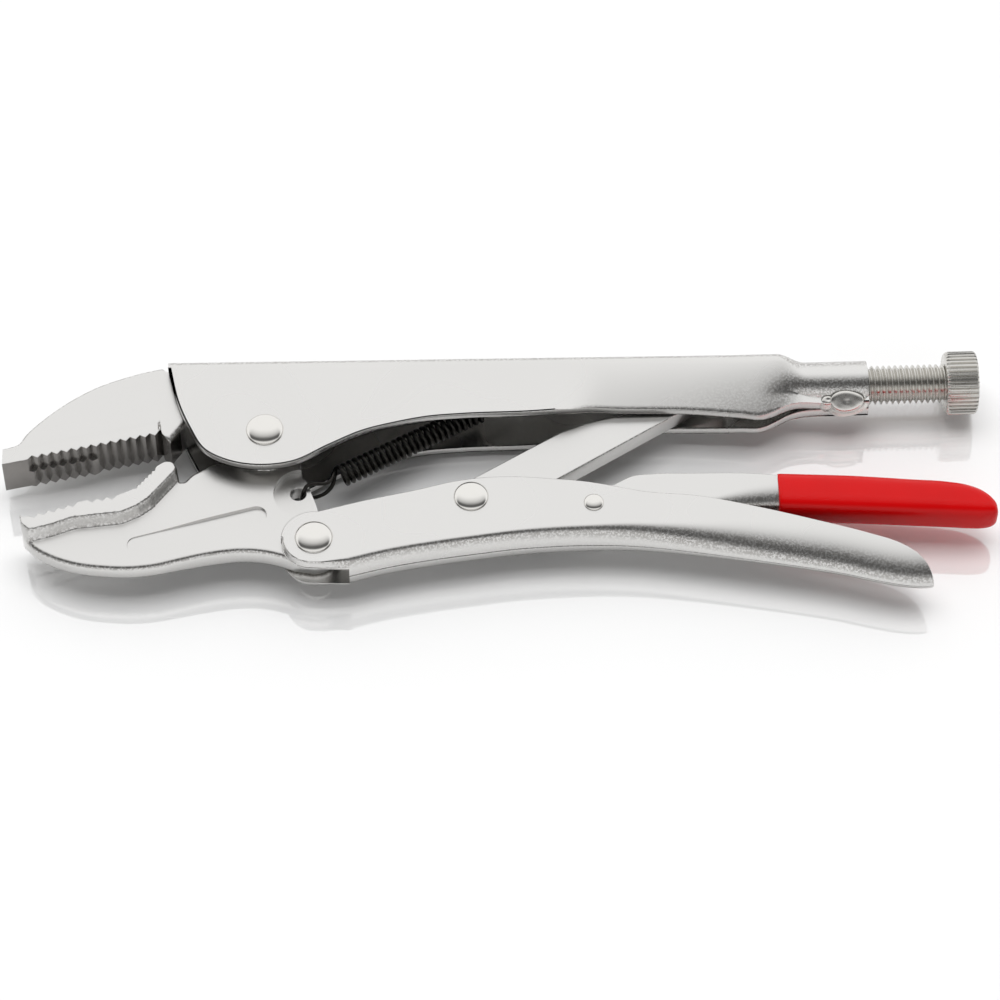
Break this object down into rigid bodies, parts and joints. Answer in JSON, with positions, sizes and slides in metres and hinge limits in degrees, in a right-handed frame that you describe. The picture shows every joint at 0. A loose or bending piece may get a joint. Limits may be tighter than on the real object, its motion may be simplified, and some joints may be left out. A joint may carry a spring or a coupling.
{
  "type": "locking pliers",
  "caption": "Locking pliers with curved toothed jaws, a channel-shaped upper arm with an adjusting screw and knurled knob, a pressed lower handle, toggle link, spring and a release lever.",
  "frame": {"origin": "middle of the tool's outline, on the surface it lies on (the far head of the main rivet)", "axes": "+X along the adjusting screw towards the knob, +Y from the grip handle towards the back of the upper arm, +Z the hinge direction, upwards from the surface the tool lies on"},
  "size_m": [0.2489, 0.0725, 0.02],
  "materials": {
    "plated_steel": "satin nickel plate on pressed sheet steel",
    "forged_steel": "satin nickel plate on forged steel, tumbled edges",
    "rivet_steel": "bright nickel plate on headed rivets",
    "screw_steel": "bright nickel plate on turned steel",
    "spring_steel": "blackened spring wire",
    "red_plastic": "glossy dipped vinyl"
  },
  "bodies": {
    "housing_body": {"housing": "plated_steel", "seam_weld": "plated_steel", "fixed_jaw": "forged_steel", "jaw_weld": "plated_steel", "main_rivet": "rivet_steel", "tension_spring": "spring_steel"},
    "jaw": {"moving_jaw": "forged_steel"},
    "handle": {"grip_handle": "plated_steel", "handle_rivet": "rivet_steel", "toggle_rivet": "rivet_steel", "release_rivet": "rivet_steel"},
    "link": {"toggle_link": "forged_steel"},
    "release": {"release_lever": "plated_steel", "lever_sleeve": "red_plastic"},
    "screw": {"adjusting_screw": "screw_steel"},
    "knob": {"knurled_knob": "screw_steel"}
  },
  "joints": [
    {"name": "jaw_pivot", "type": "hinge", "parent": "housing_body", "child": "jaw", "pos_m": [-0.0584, 0.0123, 0.01], "axis": [0, 0, 1], "range_deg": [-3.2, 17.7], "deforming": ["tension_spring"]},
    {"name": "handle_pivot", "type": "hinge", "parent": "jaw", "child": "handle", "pos_m": [-0.0464, -0.0195, 0.01], "axis": [0, 0, 1], "range_deg": [-45, 8]},
    {"name": "link_pivot", "type": "hinge", "parent": "handle", "child": "link", "pos_m": [-0.0071, -0.0082, 0.01], "axis": [0, 0, 1], "range_deg": [-7.5, 41.5]},
    {"name": "release_pivot", "type": "hinge", "parent": "handle", "child": "release", "pos_m": [0.0234, -0.0111, 0.01], "axis": [0, 0, 1], "range_deg": [-2.5, 0]},
    {"name": "screw_travel", "type": "slide", "parent": "housing_body", "child": "screw", "axis": [1, 0, 0], "range_m": [0, 0.01]},
    {"name": "knob_turn", "type": "hinge", "parent": "screw", "child": "knob", "pos_m": [0.1179, 0.0275, 0.01], "axis": [1, 0, 0], "range_deg": [-0.5, 2400.5]}
  ],
  "couplings": [
    {"joint": "jaw_pivot", "follows": "handle_pivot", "ratio": -0.39},
    {"joint": "link_pivot", "follows": "handle_pivot", "ratio": -0.92},
    {"joint": "knob_turn", "follows": "screw_travel", "rad_per_m": 4188.8}
  ]
}
